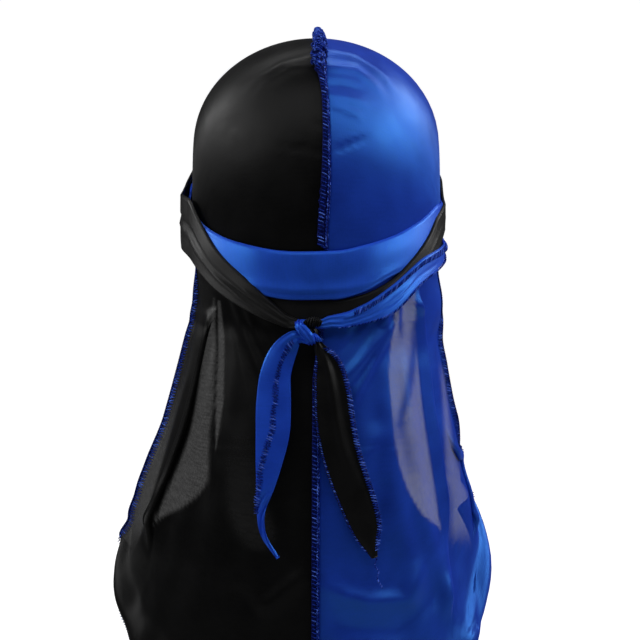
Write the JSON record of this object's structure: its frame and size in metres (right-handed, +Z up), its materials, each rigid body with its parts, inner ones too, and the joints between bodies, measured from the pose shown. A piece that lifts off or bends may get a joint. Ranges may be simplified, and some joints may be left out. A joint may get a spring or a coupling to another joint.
{
  "type": "durag",
  "caption": "Black and blue satin durag in its tied form: smooth crown with a raised overlocked centre seam, straps wrapped round the head and knotted at the nape, and a wide hanging cape.",
  "frame": {"origin": "the inside of the crown's top, where the durag sits on a head", "axes": "+Z up, +Y towards the wearer's face, +X to the wearer's right, the blue half"},
  "size_m": [0.2397, 0.215, 0.442],
  "materials": {
    "black_satin": "black polyester satin, sheer where it hangs single",
    "blue_satin": "royal blue polyester satin, sheer where it hangs single",
    "blue_thread": "dark blue overlock thread"
  },
  "bodies": {
    "root": {"left_panel": "black_satin", "right_panel": "blue_satin", "centre_seam": "blue_thread", "left_hem": "blue_thread", "right_hem": "blue_thread", "black_strap": "black_satin", "blue_strap": "blue_satin"}
  },
  "joints": []
}
